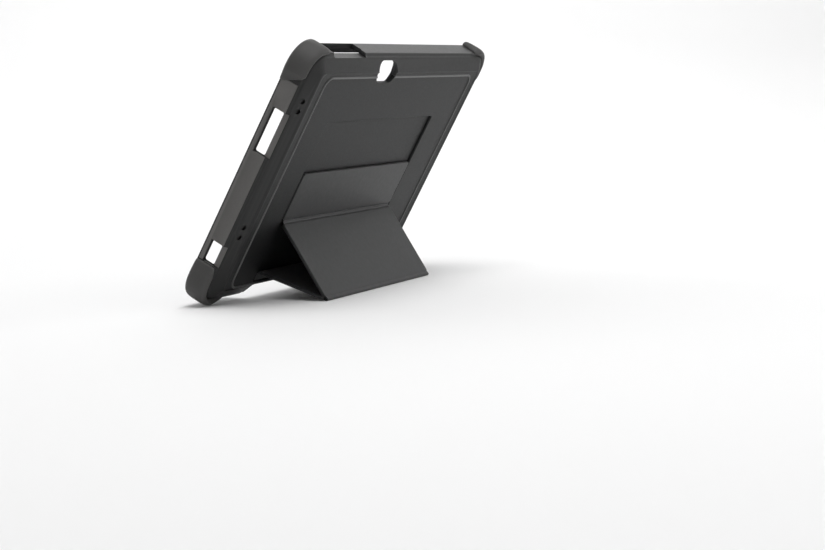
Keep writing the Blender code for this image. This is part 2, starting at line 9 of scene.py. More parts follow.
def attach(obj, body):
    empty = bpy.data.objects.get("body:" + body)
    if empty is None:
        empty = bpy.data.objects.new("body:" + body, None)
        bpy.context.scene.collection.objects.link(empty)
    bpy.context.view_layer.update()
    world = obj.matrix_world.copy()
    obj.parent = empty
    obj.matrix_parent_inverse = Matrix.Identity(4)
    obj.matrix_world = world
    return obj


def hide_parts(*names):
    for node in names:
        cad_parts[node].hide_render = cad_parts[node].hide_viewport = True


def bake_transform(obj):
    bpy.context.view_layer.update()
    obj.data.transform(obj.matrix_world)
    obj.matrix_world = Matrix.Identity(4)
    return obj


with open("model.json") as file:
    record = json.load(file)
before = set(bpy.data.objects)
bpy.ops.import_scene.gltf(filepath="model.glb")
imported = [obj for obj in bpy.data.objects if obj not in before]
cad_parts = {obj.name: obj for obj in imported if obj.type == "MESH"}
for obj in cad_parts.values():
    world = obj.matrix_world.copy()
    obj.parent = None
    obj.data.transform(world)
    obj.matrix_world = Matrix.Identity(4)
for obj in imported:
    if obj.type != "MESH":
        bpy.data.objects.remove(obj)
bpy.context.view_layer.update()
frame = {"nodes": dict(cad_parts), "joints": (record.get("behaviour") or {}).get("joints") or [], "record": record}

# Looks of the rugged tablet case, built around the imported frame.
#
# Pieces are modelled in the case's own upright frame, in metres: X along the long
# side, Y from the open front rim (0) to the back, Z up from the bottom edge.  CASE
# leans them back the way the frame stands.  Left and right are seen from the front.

MM = 0.001

# ------------------------------------------------------------ places from the frame

SEAT_IN_CASE = Vector((-74.5 * MM, 13.1 * MM, 131.0 * MM))
SEAT = next(mount for mount in frame["record"]["mounts"] if mount["name"] == "pad_seat")
LEAN = math.atan2(SEAT["axis"][2], -SEAT["axis"][1])
CASE = (Matrix.Translation(SEAT["pos_m"]) @ Matrix.Rotation(-LEAN, 4, "X")
        @ Matrix.Translation(-SEAT_IN_CASE))
INTO_CASE = CASE.inverted()


def case_box(node):
    """A node's lowest and highest corners in the case's frame."""
    points = [INTO_CASE @ v.co for v in frame["nodes"][node].data.vertices]
    low = Vector([min(p[i] for p in points) for i in range(3)])
    high = Vector([max(p[i] for p in points) for i in range(3)])
    return low, high


def joint_at(name):
    joint = next(j for j in frame["joints"] if j["name"] == name)
    return INTO_CASE @ Vector(joint["pos_m"])


SHELL_HIGH = case_box("soft_frame")[1]
PANEL_LOW, PANEL_HIGH = case_box("back_panel")
HALF = SHELL_HIGH.x
HEIGHT = SHELL_HIGH.z
DEPTH = SHELL_HIGH.y
HINGE, FOOT, FOLD = (joint_at(name) for name in ("base_fold", "leg_fold", "flap_fold"))
STAND_X = HINGE.x
STAND_WIDTH = 2 * (case_box("leg_outer_skin")[1].x - STAND_X)
FLAP_END = case_box("flap_outer_skin")[1].z

# Sizes that the fine shapes share with the frame
CORNER = 14 * MM
WALL = 3 * MM
LIP_REACH = 6.5 * MM
LIP_THICK = 1.6 * MM
CHAMFER_Y = 14.3 * MM
CHAMFER_IN = 10.6 * MM
BACK_INNER = PANEL_LOW.y
PANEL_CORNER = 8 * MM
RECESS_WIDTH = 167.5 * MM
RECESS_FLOOR = 18.3 * MM
RECESS_Z = (13.2 * MM, 131.2 * MM)
DOCK_X = (-74.6 * MM, 85.5 * MM)
DOCK_TOP = 10.9 * MM
SIDE_PORTS = ((106 * MM, 136 * MM), (27 * MM, 41 * MM))
SIDE_PORT_Y = (4.5 * MM, 11.8 * MM)
TOP_PORT_X = (64 * MM, 112 * MM)
TOP_PORT_Y = (1.8 * MM, 9.5 * MM)
PORT_RELIEF = 2.6 * MM          # how deep the walls are cut away beside the ports
RELIEF_MARGIN = 0.5 * MM
RELIEF_FRONT = 0.2 * MM         # how far the cut-away reaches in front of the ports
RELIEF_SLANT = 5 * MM
BEYOND = 10 * MM                # how far a cutter reaches past the shell
CAMERA_AT = (32 * MM, 167.5 * MM)
CAMERA_SIZE = (29 * MM, 15 * MM)
CAMERA_CORNER = 7.2 * MM
SOUND_HOLES = (147 * MM, 140 * MM, 57 * MM, 50 * MM)
SOUND_HOLE_AT = (6.7 * MM, 17.8 * MM)   # inset from the wall and depth
SOUND_HOLE_RADIUS = 1.8 * MM
SOUND_HOLE_SPREAD = 0.8 * MM    # the holes widen inwards by this much in 6 mm
FLOOR_LOW, FLOOR_HIGH = case_box("floor_panel")
FLOOR_Y = FLOOR_LOW.y
FLOOR_CORNER = 16 * MM
FLOOR_SHRINK = 1 - 0.0076       # the frame's floor next to the liner's inner edge
TONGUE_MIDDLE = 1 * MM          # from the stand's middle to the finger tongue's tip
TONGUE_HALF = (18 * MM, 13 * MM)        # half widths at its root and its tip
TONGUE_BEND = 9.5 * MM          # height where it starts to narrow
MIDDLE_Z = HEIGHT / 2
BAND_WIDTH = 5 * MM
BAND_RING = (76.4 * MM, 45 * MM)        # half the ring's length and height
BAND_CORNER = 12 * MM
PAD_AT = (74.5 * MM, 41.5 * MM)
ARM_END = (107.5 * MM, 63 * MM)


# ------------------------------------------------------------ material nodes

class Look:
    """A Principled material with its node tree at hand."""

    def __init__(self, name, roughness, specular=0.5, metallic=0.0):
        self.material = bpy.data.materials.new(name)
        self.material.use_nodes = True
        self.tree = self.material.node_tree
        self.shader = self.tree.nodes["Principled BSDF"]
        self.shader.inputs["Roughness"].default_value = roughness
        self.shader.inputs["Specular IOR Level"].default_value = specular
        self.shader.inputs["Metallic"].default_value = metallic
        self.place = self.tree.nodes.new("ShaderNodeTexCoord")
        self.height = None

    def link(self, source, target):
        self.tree.links.new(source, target)

    def noise(self, size, detail=3.0, roughness=0.55, stretch=(1, 1, 1)):
        """Noise whose features are about size metres across."""
        mapping = self.tree.nodes.new("ShaderNodeMapping")
        mapping.inputs["Scale"].default_value = stretch
        texture = self.tree.nodes.new("ShaderNodeTexNoise")
        texture.inputs["Scale"].default_value = 1.0 / size
        texture.inputs["Detail"].default_value = detail
        texture.inputs["Roughness"].default_value = roughness
        self.link(self.place.outputs["Object"], mapping.inputs["Vector"])
        self.link(mapping.outputs["Vector"], texture.inputs["Vector"])
        return texture.outputs["Fac"]

    def cells(self, size, feature="F1"):
        texture = self.tree.nodes.new("ShaderNodeTexVoronoi")
        texture.feature = feature
        texture.inputs["Scale"].default_value = 1.0 / size
        self.link(self.place.outputs["Object"], texture.inputs["Vector"])
        return texture.outputs["Distance"]

    def ramp(self, value, low, high, colors):
        """A colour between two, as value goes from low to high."""
        ramp = self.tree.nodes.new("ShaderNodeValToRGB")
        for element, place, color in zip(ramp.color_ramp.elements, (low, high), colors):
            element.position = place
            element.color = (*color, 1.0)
        self.link(value, ramp.inputs["Fac"])
        return ramp.outputs["Color"]

    def spread(self, value, low, high, out_low, out_high):
        """A number from out_low to out_high as value goes from low to high."""
        node = self.tree.nodes.new("ShaderNodeMapRange")
        for name, number in (("From Min", low), ("From Max", high), ("To Min", out_low),
                             ("To Max", out_high)):
            node.inputs[name].default_value = number
        self.link(value, node.inputs["Value"])
        return node.outputs["Result"]

    def mix(self, factor, first, second):
        node = self.tree.nodes.new("ShaderNodeMix")
        node.data_type = "RGBA"
        self.link(factor, node.inputs["Factor"])
        self.link(first, node.inputs["A"])
        self.link(second, node.inputs["B"])
        return node.outputs["Result"]

    def color(self, source):
        self.link(source, self.shader.inputs["Base Color"])

    def roughness(self, source):
        self.link(source, self.shader.inputs["Roughness"])

    def bump(self, value, depth, strength=1.0):
        """Adds relief of the given depth in metres on top of earlier relief."""
        node = self.tree.nodes.new("ShaderNodeBump")
        node.inputs["Distance"].default_value = depth
        node.inputs["Strength"].default_value = strength
        self.link(value, node.inputs["Height"])
        if self.height:
            self.link(self.height, node.inputs["Normal"])
        self.height = node.outputs["Normal"]
        self.link(self.height, self.shader.inputs["Normal"])

    def edges(self, low=0.5, high=0.56):
        """How convex the surface is: 0 on flats, 1 on sharp outer edges."""
        geometry = self.tree.nodes.new("ShaderNodeNewGeometry")
        return self.spread(geometry.outputs["Pointiness"], low, high, 0.0, 1.0)


def grey(value, warm=0.0):
    """A near-neutral linear colour; warm shifts it from blue to red."""
    return (value * (1 + warm), value, value * (1 - warm))


def moulded_rubber(name, shade, warm=0.0, roughness=0.52, specular=0.28):
    """Soft moulded rubber: an even fine matt grain, and a painted highlight that lightens its convex edges."""
    look = Look(name, roughness, specular)
    fine = look.noise(0.002, detail=4)
    body = look.ramp(fine, 0.3, 0.7, (grey(shade * 0.96, warm), grey(shade * 1.04, warm)))
    # painted highlight: convex edges get a lighter colour, as if they caught the light
    painted_edge_highlight = look.ramp(fine, 0.0, 1.0, (grey(shade * 1.5, warm), grey(shade * 1.8, warm)))
    look.color(look.mix(look.edges(), body, painted_edge_highlight))
    look.roughness(look.spread(fine, 0.3, 0.7, roughness - 0.03, roughness + 0.03))
    look.bump(look.noise(0.00045, detail=2), 0.00004, 0.5)
    return look.material


def back_plastic():
    """Hard back: matt, with an even fine etched texture."""
    look = Look("back_plastic", 0.46, 0.16)
    fine = look.noise(0.0015, detail=4)
    look.color(look.ramp(fine, 0.3, 0.7, (grey(0.0123, -0.02), grey(0.0131, -0.02))))
    look.roughness(look.spread(fine, 0.3, 0.7, 0.44, 0.5))
    look.bump(look.cells(0.0005), 0.00004, 0.4)
    return look.material


def coated_sheet():
    """The stand's leather-like coated sheet: small pebbled grain and a soft sheen."""
    look = Look("coated_sheet", 0.41, 0.25)
    fine = look.noise(0.003, detail=4)
    look.color(look.ramp(fine, 0.3, 0.7, (grey(0.0158, -0.02), grey(0.0172, -0.02))))
    look.roughness(look.spread(fine, 0.3, 0.7, 0.42, 0.48))
    look.shader.inputs["Sheen Weight"].default_value = 0.06
    look.shader.inputs["Sheen Roughness"].default_value = 0.5
    look.bump(look.cells(0.0008, "SMOOTH_F1"), 0.00005, 0.5)
    look.bump(look.noise(0.0022, detail=2), 0.00004, 0.4)
    return look.material


def satin_band():
    look = Look("satin_band", 0.36, 0.5)
    streak = look.noise(0.004, detail=4, stretch=(0.25, 1, 1))
    look.color(look.ramp(streak, 0.3, 0.7, (grey(0.135), grey(0.17))))
    look.roughness(look.spread(streak, 0.3, 0.7, 0.3, 0.42))
    look.bump(look.noise(0.0006, detail=2), 0.00003, 0.4)
    return look.material


def pad_rubber():
    """Sky blue pads, with painted shade: a deeper blue on faces turned away from the case's open front, in the
    grooves and down the sides.
    """
    look = Look("pad_rubber", 0.38, 0.5)
    cloud = look.noise(0.008, detail=4)
    top = look.ramp(cloud, 0.3, 0.7, ((0.20, 0.60, 0.86), (0.24, 0.66, 0.90)))
    # painted shade: faces that turn away from the case's front fade to this deeper blue
    painted_shade_blue = look.ramp(cloud, 0.3, 0.7, ((0.015, 0.24, 0.66), (0.02, 0.30, 0.74)))
    geometry = look.tree.nodes.new("ShaderNodeNewGeometry")
    facing = look.tree.nodes.new("ShaderNodeVectorMath")
    facing.operation = "DOT_PRODUCT"
    facing.inputs[1].default_value = CASE.to_3x3() @ Vector((0, -1, 0))
    look.link(geometry.outputs["Normal"], facing.inputs[0])
    flat = look.spread(facing.outputs["Value"], 0.55, 0.9, 0.0, 1.0)
    look.color(look.mix(flat, painted_shade_blue, top))
    look.roughness(look.spread(cloud, 0.3, 0.7, 0.32, 0.44))
    look.bump(look.noise(0.0006, detail=2), 0.00003, 0.4)
    return look.material


def hidden_metal():
    look = Look("plated_steel", 0.3, metallic=1.0)
    streak = look.noise(0.002, detail=4, stretch=(0.1, 1, 1))
    look.color(look.ramp(streak, 0.3, 0.7, (grey(0.45), grey(0.6))))
    look.roughness(look.spread(streak, 0.3, 0.7, 0.22, 0.4))
    return look.material


def fibre_board():
    look = Look("fibre_board", 0.8)
    fleck = look.noise(0.001, detail=5)
    look.color(look.ramp(fleck, 0.35, 0.65, ((0.14, 0.11, 0.075), (0.26, 0.21, 0.15))))
    look.bump(fleck, 0.0001, 0.5)
    return look.material


# ------------------------------------------------------------ mesh helpers

WELD = 0.004 * MM               # points closer than this become one

def rounded_rectangle(x, z, radius, steps=10):
    """Outline points (x, z), counter-clockwise from the lower right corner."""
    centres = ((x[1] - radius, z[0] + radius, -90), (x[1] - radius, z[1] - radius, 0),
               (x[0] + radius, z[1] - radius, 90), (x[0] + radius, z[0] + radius, 180))
    points = []
    for cx, cz, start in centres:
        for step in range(steps + 1):
            angle = math.radians(start + 90 * step / steps)
            points.append((cx + radius * math.cos(angle), cz + radius * math.sin(angle)))
    return points


def inset_outline(inset, radius=None):
    if radius is None:
        radius = max(CORNER - inset, 2 * MM)
    return rounded_rectangle((-HALF + inset, HALF - inset), (inset, HEIGHT - inset), radius)


def panel_outline(grow):
    x = (PANEL_LOW.x - grow, PANEL_HIGH.x + grow)
    z = (PANEL_LOW.z - grow, PANEL_HIGH.z + grow)
    return rounded_rectangle(x, z, PANEL_CORNER + grow)


def between(first, second, part):
    """Outline part of the way from one outline to another."""
    return [tuple(Vector(a).lerp(Vector(b), part)) for a, b in zip(first, second)]


def fillet(before, corner, after, radius, steps=4):
    """A rounded corner of a 2-D profile, as a curve between its two sides."""
    corner = Vector(corner)
    start = corner + (Vector(before) - corner).normalized() * radius
    end = corner + (Vector(after) - corner).normalized() * radius
    points = []
    for step in range(steps + 1):
        t = step / steps
        points.append(start.lerp(corner, t).lerp(corner.lerp(end, t), t))
    return points


def rounded_profile(points, radii):
    """A 2-D profile with each inner point rounded by its own radius."""
    result = [Vector(points[0])]
    for i in range(1, len(points) - 1):
        if radii[i - 1]:
            result.extend(fillet(points[i - 1], points[i], points[i + 1], radii[i - 1]))
        else:
            result.append(Vector(points[i]))
    result.append(Vector(points[-1]))
    return result


def loft(loops, ring=False):
    """A solid through outlines at given depths; ring joins the last to the first."""
    mesh = bmesh.new()
    rows = [[mesh.verts.new((x, y, z)) for x, z in points] for points, y in loops]
    following = rows[1:]
    if ring:
        following.append(rows[0])
    else:
        mesh.faces.new(rows[0])
        mesh.faces.new(rows[-1])
    for lower, upper in zip(rows, following):
        for i in range(len(lower)):
            j = (i + 1) % len(lower)
            mesh.faces.new((lower[i], lower[j], upper[j], upper[i]))
    return mesh


def block(x, y, z):
    mesh = bmesh.new()
    size = Vector((x[1] - x[0], y[1] - y[0], z[1] - z[0]))
    middle = Vector((x[0] + x[1], y[0] + y[1], z[0] + z[1])) / 2
    bmesh.ops.create_cube(mesh, size=1.0,
                          matrix=Matrix.Translation(middle) @ Matrix.Diagonal((*size, 1.0)))
    return mesh


def to_object(name, mesh):
    bmesh.ops.recalc_face_normals(mesh, faces=mesh.faces)
    data = bpy.data.meshes.new(name)
    mesh.to_mesh(data)
    mesh.free()
    obj = bpy.data.objects.new(name, data)
    bpy.context.scene.collection.objects.link(obj)
    return obj


def apply_modifiers(obj):
    graph = bpy.context.evaluated_depsgraph_get()
    shaped = bpy.data.meshes.new_from_object(obj.evaluated_get(graph))
    obj.modifiers.clear()
    old = obj.data
    obj.data = shaped
    bpy.data.meshes.remove(old)


def weld(obj):
    """Joins points that a cut left closer together than the mesh can use."""
    mesh = bmesh.new()
    mesh.from_mesh(obj.data)
    bmesh.ops.remove_doubles(mesh, verts=mesh.verts, dist=WELD)
    bmesh.ops.dissolve_degenerate(mesh, edges=mesh.edges, dist=WELD)
    mesh.to_mesh(obj.data)
    mesh.free()


def carve(obj, cutters):
    """Cuts shapes out of obj one after another."""
    tools = [to_object("carving", cutter) for cutter in cutters]
    for tool in tools:
        step = obj.modifiers.new("carve", "BOOLEAN")
        step.operation = "DIFFERENCE"
        step.solver = "EXACT"
        step.object = tool
    apply_modifiers(obj)
    for tool in tools:
        bpy.data.objects.remove(tool, do_unlink=True)
    weld(obj)
    return obj


def soften(obj, width, segments=2, angle=38):
    step = obj.modifiers.new("soften", "BEVEL")
    step.width = width
    step.segments = segments
    step.limit_method = "ANGLE"
    step.angle_limit = math.radians(angle)
    step.use_clamp_overlap = True
    apply_modifiers(obj)
    return obj


def refine(obj, levels):
    step = obj.modifiers.new("refine", "SUBSURF")
    step.levels = levels
    step.render_levels = levels
    apply_modifiers(obj)
    return obj


def flatten_shading(obj):
    """Keeps large faces flat where narrow rounded edges meet them."""
    step = obj.modifiers.new("flatten", "WEIGHTED_NORMAL")
    step.keep_sharp = True
    step.weight = 90
    apply_modifiers(obj)


def finish(obj, material, replaced, body="case", sharp=32, place=None, flat=True):
    """Leans a finished piece with the case, attaches it to its body and hides the frame's parts that it replaces.
    """
    obj.data.transform(CASE @ place if place else CASE)
    obj.data.materials.clear()
    obj.data.materials.append(material)
    obj.data.shade_smooth()
    obj.data.set_sharp_from_angle(angle=math.radians(sharp))
    if flat:
        flatten_shading(obj)
    if body:
        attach(obj, body)
    if replaced:
        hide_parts(*replaced)
    return obj


# ------------------------------------------------------------ openings

def port_cutters():
    """The side and top ports, with the chamfer cut away beside each."""
    cutters = []
    for z in SIDE_PORTS:
        outline = rounded_rectangle(SIDE_PORT_Y, z, 1.2 * MM, steps=4)
        cutters.append(turned_plate(outline, (HALF - BEYOND, HALF + BEYOND)))
        relief = block((HALF - PORT_RELIEF, HALF + BEYOND), (SIDE_PORT_Y[0] - RELIEF_FRONT, DEPTH),
                       (z[0] - RELIEF_MARGIN, z[1] + RELIEF_MARGIN))
        cutters.append(relief)
    cutters.append(block(TOP_PORT_X, TOP_PORT_Y, (HEIGHT - BEYOND, HEIGHT + BEYOND)))
    cutters.append(top_relief())
    return cutters


def turned_plate(outline, x):
    """A prism along X from an outline given in depth and height."""
    mesh = bmesh.new()
    rows = [[mesh.verts.new((side, y, z)) for y, z in outline] for side in x]
    mesh.faces.new(rows[0])
    mesh.faces.new(rows[1])
    for i in range(len(outline)):
        j = (i + 1) % len(outline)
        mesh.faces.new((rows[0][i], rows[0][j], rows[1][j], rows[1][i]))
    return mesh


def top_relief():
    """The top port's relief, whose inner end slants as it goes down the chamfer."""
    left = TOP_PORT_X[0] - RELIEF_MARGIN
    right = TOP_PORT_X[1] + RELIEF_MARGIN
    y = (TOP_PORT_Y[0] - RELIEF_FRONT, DEPTH)
    mesh = block((left, right), y, (HEIGHT - PORT_RELIEF, HEIGHT + BEYOND))
    for vertex in mesh.verts:
        if vertex.co.x < left + MM and vertex.co.y > CHAMFER_Y:
            vertex.co.x += RELIEF_SLANT
    return mesh


def camera_cutter(grow=0.0):
    x, z = CAMERA_AT
    w, h = CAMERA_SIZE[0] / 2 + grow, CAMERA_SIZE[1] / 2 + grow
    outline = rounded_rectangle((x - w, x + w), (z - h, z + h), CAMERA_CORNER + grow)
    return loft([(outline, 5 * MM), (outline, DEPTH + 5 * MM)])


def sound_cutters():
    lean = math.atan2(DEPTH - CHAMFER_Y, CHAMFER_IN)
    cutters = []
    for z in SOUND_HOLES:
        mesh = bmesh.new()
        place = (Matrix.Translation((HALF - SOUND_HOLE_AT[0], SOUND_HOLE_AT[1], z))
                 @ Matrix.Rotation(math.pi / 2 - lean, 4, "Z")
                 @ Matrix.Rotation(math.pi / 2, 4, "Y"))
        bmesh.ops.create_cone(mesh, cap_ends=True, segments=24, depth=12 * MM, matrix=place,
                              radius1=SOUND_HOLE_RADIUS + SOUND_HOLE_SPREAD,
                              radius2=SOUND_HOLE_RADIUS - SOUND_HOLE_SPREAD)
        cutters.append(mesh)
    return cutters


# ------------------------------------------------------------ shell and back

GRIP_SINK = 1.3 * MM            # depth of the channel that a grip sits in
GRIP_Y = (1.3 * MM, 13.8 * MM)
GRIP_Z = (26.5 * MM, 156 * MM)
GRIP_GAP = 0.12 * MM
GRIP_RISE = 0.15 * MM
# The chamfer's steps outside the wall, as (inset, depth)
CHAMFER_STEPS = ((0.0, 14.1 * MM), (1.7 * MM, 14.9 * MM), (2.3 * MM, 16.1 * MM))
# A low roll round the chamfer's inner edge: part of the way to the flange's edge, and rise
FLANGE_ROLL = ((0.02, 0.2), (0.09, 0.5), (0.18, 0.6), (0.27, 0.4), (0.38, 0.0), (0.95, 0.0))


def grip_block(side, margin, height):
    """The side grip, or with no margin the channel that it sits in."""
    x = sorted((side * (HALF - GRIP_SINK + margin), side * (HALF + height)))
    y = (GRIP_Y[0] + margin, GRIP_Y[1] - margin)
    z = (GRIP_Z[0] + margin, GRIP_Z[1] - margin)
    return x, y, z


def soft_shell(material):
    """Walls, front lip, stepped chamfer and back flange, all one soft moulding."""
    chamfer_inner = CHAMFER_Y - 1.3 * MM
    outer = rounded_profile(
        [(LIP_REACH, LIP_THICK), (LIP_REACH - 0.6 * MM, 0.0), (0.0, 0.0), *CHAMFER_STEPS,
         (CHAMFER_IN, DEPTH)],
        [0.4 * MM, 1.6 * MM, 0.5 * MM, 0.5 * MM, 0.6 * MM])
    loops = [(inset_outline(point.x), point.y) for point in outer[1:-1]]
    edge = inset_outline(CHAMFER_IN)
    flange = panel_outline(0.3 * MM)
    loops.append((inset_outline(CHAMFER_IN - 0.6 * MM), DEPTH - 0.15 * MM))
    for part, rise in FLANGE_ROLL:
        loops.append((between(edge, flange, part), DEPTH + rise * MM))
    loops.append((flange, DEPTH - 0.3 * MM))
    loops.append((flange, BACK_INNER))
    loops.append((inset_outline(CHAMFER_IN), BACK_INNER))
    for inset, y in ((WALL, chamfer_inner), (WALL, LIP_THICK + 0.5 * MM),
                     (WALL + 0.5 * MM, LIP_THICK), (LIP_REACH - 0.3 * MM, LIP_THICK),
                     (LIP_REACH, LIP_THICK - 0.3 * MM)):
        loops.append((inset_outline(inset), y))
    obj = to_object("soft_shell", loft(loops, ring=True))
    channels = [block(*grip_block(side, 0.0, BEYOND / 2)) for side in (-1, 1)]
    dock = block(DOCK_X, (-BEYOND, DEPTH + BEYOND), (-BEYOND, DOCK_TOP))
    carve(obj, [dock, *port_cutters(), *sound_cutters(), *channels])
    soften(obj, 0.3 * MM)
    carve(obj, [camera_cutter()])
    return finish(obj, material, ["soft_frame"])


def side_grips(material):
    """A grip in each short wall, and the grip's ledges on the chamfer beside the ports."""
    for side, name in ((-1, "side_grip_left"), (1, "side_grip_right")):
        x, y, z = grip_block(side, GRIP_GAP, GRIP_RISE)
        obj = to_object(name + "_insert", block(x, y, z))
        if side > 0:
            carve(obj, port_cutters())
        soften(obj, 0.35 * MM, segments=3)
        finish(obj, material, [name])
    floor = HALF - PORT_RELIEF
    for z in SIDE_PORTS:
        ledge = block((floor - 0.5 * MM, floor + GRIP_RISE), (SIDE_PORT_Y[1] + 0.1 * MM, 15.8 * MM),
                      (z[0] - 0.3 * MM, z[1] + 0.3 * MM))
        finish(to_object("port_ledge", ledge), material, [])


RIB_WIDTH = 1.6 * MM
RIB_HEIGHT = 0.65 * MM
RIB_LAP = 0.45 * MM             # how far the border line laps over the shell's flange
RECESS_SLANT = 0.7 * MM         # width of the recess' slanted edge


def border_line(material):
    """The raised line along the edge of the hard back."""
    loops = [(panel_outline(RIB_LAP), DEPTH - 0.1 * MM)]
    for step in range(7):
        angle = math.radians(180 * step / 6)
        across = RIB_WIDTH / 2 * (1 - math.cos(angle)) - RIB_LAP
        loops.append((panel_outline(-across), DEPTH + RIB_HEIGHT * math.sin(angle)))
    loops.append((panel_outline(RIB_LAP - RIB_WIDTH), DEPTH - 0.1 * MM))
    obj = carve(to_object("border_line", loft(loops, ring=True)), [camera_cutter()])
    return finish(obj, material, [])


def back_cover(material):
    """Hard back with the stand's recess and the notch for the finger tongue."""
    obj = to_object("back_cover", loft([(panel_outline(0.0), y) for y in (BACK_INNER, DEPTH)]))
    x = (STAND_X - RECESS_WIDTH / 2, STAND_X + RECESS_WIDTH / 2)
    pocket = rounded_rectangle(x, RECESS_Z, 1.5 * MM, steps=4)
    wide_x = (x[0] - RECESS_SLANT, x[1] + RECESS_SLANT)
    wide_z = (RECESS_Z[0] - RECESS_SLANT, RECESS_Z[1] + RECESS_SLANT)
    mouth = rounded_rectangle(wide_x, wide_z, 1.5 * MM + RECESS_SLANT, steps=4)
    recess = loft([(pocket, RECESS_FLOOR), (pocket, DEPTH - RECESS_SLANT), (mouth, DEPTH),
                   (mouth, DEPTH + BEYOND / 2)])
    notch = TONGUE_HALF[0] + 0.5 * MM
    tongue = block((STAND_X - notch, STAND_X + notch), (RECESS_FLOOR, DEPTH + BEYOND / 2),
                   (PANEL_LOW.z - BEYOND / 2, RECESS_Z[0] + 2 * MM))
    carve(obj, [recess, tongue])
    soften(obj, 0.2 * MM)
    carve(obj, [camera_cutter()])
    return finish(obj, material, ["back_panel"])


# ------------------------------------------------------------ corner bumpers

BUMPERS = {                     # along the case, then up its side: reach, taper, skew, end
    ("top", "left"): ((4.5 * MM, 4 * MM, 3 * MM, 0.35), (17 * MM, 12 * MM, 0.0, 0.1)),
    ("top", "right"): ((11.0 * MM, 10 * MM, 0.0, 0.06), (8.5 * MM, 6 * MM, -3.5 * MM, 0.3)),
    ("bottom", "left"): ((20 * MM, 18 * MM, 0.0, 0.06), (17 * MM, 12 * MM, 0.0, 0.1)),
    ("bottom", "right"): ((20 * MM, 18 * MM, 0.0, 0.06), (12.2 * MM, 7 * MM, 0.0, 0.35)),
}
# Cross-section as (inset, depth) in mm, from the front inner edge round to the wall
BUMPER_SECTION = ((0.6, 1.2), (-1.4, 0.1), (-3.2, 1.3), (-3.65, 4.0), (-3.65, 8.0), (-3.6, 12.6),
                  (-3.1, 15.4), (-1.6, 16.9), (0.2, 16.3), (1.6, 14.8), (1.6, 13.0), (0.9, 8.0))
THINS_FROM = 13.0               # depth in mm beyond which a bumper also fades at its ends


def fullness(end, part):
    """A bumper's thickness next to its middle's, part of the way along a taper."""
    return end + (1 - end) * part ** 0.8


def bumper_path(arms):
    """Stations along a corner: centre, outward direction, fullness and end slant."""
    cx, cz = HALF - CORNER, HEIGHT - CORNER
    (along, along_taper, along_skew, along_end), (up, up_taper, up_skew, up_end) = arms
    steps = [step / 5 for step in range(6)]
    stations = [((cx - along + along_taper * t, cz), 90, fullness(along_end, t),
                 (-along_skew * (1 - t), 0.0)) for t in steps]
    stations += [((cx, cz), 90 - 15 * step, 1.0, (0.0, 0.0)) for step in range(7)]
    stations += [((cx, cz - up + up_taper * t), 0, fullness(up_end, t),
                  (0.0, -up_skew * (1 - t))) for t in steps[::-1]]
    return stations


def corner_bumper(level, side, arms, material):
    """A thick cap round one corner of the wall, thinner at its two ends."""
    mesh = bmesh.new()
    across = 1 if side == "right" else -1
    rows = []
    for (x, z), degrees, full, slant in bumper_path(arms):
        angle = math.radians(degrees)
        row = []
        for inset, y in BUMPER_SECTION:
            radius = CORNER - (inset * full if inset < 0 else inset) * MM
            y -= max(y - THINS_FROM, 0.0) * (1 - full)
            from_middle = y * MM / (CHAMFER_Y / 2) - 1
            px = x + radius * math.cos(angle) + slant[0] * from_middle
            pz = z + radius * math.sin(angle) + slant[1] * from_middle
            if level == "bottom":
                pz = HEIGHT - pz
            row.append(mesh.verts.new((across * px, y * MM, pz)))
        rows.append(row)
    count = len(BUMPER_SECTION)
    for first, second in zip(rows, rows[1:]):
        for i in range(count):
            j = (i + 1) % count
            mesh.faces.new((first[i], first[j], second[j], second[i]))
    mesh.faces.new(rows[0])
    mesh.faces.new(rows[-1])
    obj = to_object("bumper_%s_%s" % (level, side), mesh)
    refine(obj, 2)
    return finish(obj, material, ["corner_bumper_%s_%s" % (level, side)],
                  flat=False)


# ------------------------------------------------------------ inside

def even_points(points, count):
    """Points at equal distances along a closed outline, from its first point."""
    closed = [Vector(p) for p in points] + [Vector(points[0])]
    lengths = [(b - a).length for a, b in zip(closed, closed[1:])]
    step = sum(lengths) / count
    result = []
    for number in range(count):
        left = number * step
        index = 0
        while left > lengths[index]:
            left -= lengths[index]
            index += 1
        result.append(closed[index].lerp(closed[index + 1], left / lengths[index]))
    return result


TEETH = 44                      # saw-tooth facets round the liner
TOOTH_STEPS = 8                 # points along each facet's edge
TOOTH_START = 0.3               # part of the way out where the steps begin
TOOTH_RISE = 2.2                # height of the steps at the wall, in mm
LINER_SETBACK = 1.6 * MM        # how much wider the liner's camera window is than the back's


def floor_outline(scale=1.0):
    x = FLOOR_HIGH.x / FLOOR_SHRINK
    z = (FLOOR_HIGH.z - MIDDLE_Z) / FLOOR_SHRINK
    points = even_points(rounded_rectangle((-x, x), (-z, z), FLOOR_CORNER, steps=5), TEETH)
    return [Vector((p.x * scale, MIDDLE_Z + p.y * scale)) for p in points]


def liner_surface(part, high):
    """Depth of the liner part of the way from the floor to the wall."""
    rise = 0.9 * part ** 2 + 0.5 * max(part - 0.75, 0.0) / 0.25
    step = 0.0
    if part > TOOTH_START:
        step = TOOTH_RISE * ((part - TOOTH_START) / (1 - TOOTH_START)) ** 1.1
    return FLOOR_Y - (rise - 0.5 * step + (step if high else 0.0)) * MM


def liner_ray(inner, outer, part):
    """A point on a facet's edge, which bends a little on its way to the wall."""
    along = outer - inner
    across = Vector((-along.y, along.x))
    return inner + along * part + across * 0.06 * math.sin(math.pi * part)


